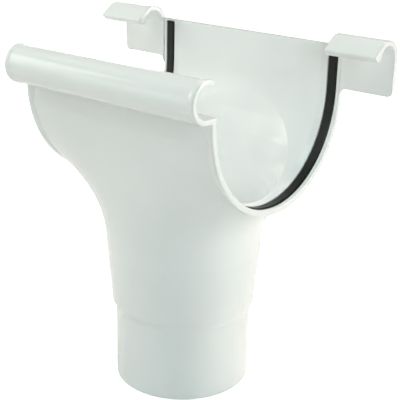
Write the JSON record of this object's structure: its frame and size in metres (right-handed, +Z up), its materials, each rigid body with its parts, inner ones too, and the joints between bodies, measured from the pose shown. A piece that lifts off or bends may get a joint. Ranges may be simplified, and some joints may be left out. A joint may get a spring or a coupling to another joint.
{
  "type": "gutter outlet",
  "caption": "Half-round gutter outlet: channel with rolled front bead, skirt draping into a round spigot, end seals and hooked rear clip tabs.",
  "frame": {"origin": "on the spigot's axis, level with its lower end", "axes": "+X along the gutter, +Y from the rolled front bead towards the rear wall, +Z up the spigot's axis"},
  "size_m": [0.2202, 0.1471, 0.2343],
  "materials": {
    "upvc": "moulded white uPVC, semi-gloss",
    "seal": "moulded black EPDM, satin"
  },
  "bodies": {
    "root": {"outlet_body": "upvc", "seal_left": "seal", "seal_right": "seal"}
  },
  "joints": []
}
